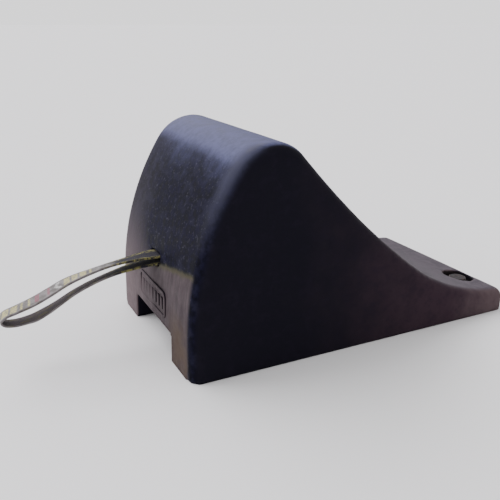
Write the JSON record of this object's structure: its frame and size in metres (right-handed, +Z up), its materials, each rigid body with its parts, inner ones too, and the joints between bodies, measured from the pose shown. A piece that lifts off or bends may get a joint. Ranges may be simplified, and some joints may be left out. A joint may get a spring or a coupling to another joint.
{
  "type": "wheel chock",
  "caption": "Moulded rubber wheel chock: concave ramp, rounded back, channel between two feet, a bolt through the toe and a webbing pull strap on the rear face.",
  "frame": {"origin": "on the ground, under the middle of the rubber wedge's length and width", "axes": "+X from the rear face to the toe, +Y to the left across the width, +Z up"},
  "size_m": [0.4988, 0.194, 0.2],
  "materials": {
    "moulded_rubber": "worn matt moulded rubber, dusty low on the rear face",
    "strap_webbing": "woven polyester webbing with coloured flecks",
    "zinc_steel": "dull weathered zinc plate"
  },
  "bodies": {
    "chock": {"chock_body": "moulded_rubber", "pull_strap_tail": "strap_webbing", "strap_toggle_pin": "zinc_steel", "toe_bolt": "zinc_steel", "toe_washer": "zinc_steel", "toe_lower_washer": "zinc_steel", "toe_nut": "zinc_steel"},
    "pull_strap": {"pull_strap_loop": "strap_webbing"}
  },
  "joints": [
    {"name": "pull_strap_lift", "type": "hinge", "parent": "chock", "child": "pull_strap", "pos_m": [-0.1805, 0, 0.0822], "axis": [0, 1, 0], "range_deg": [-18, 85]}
  ]
}
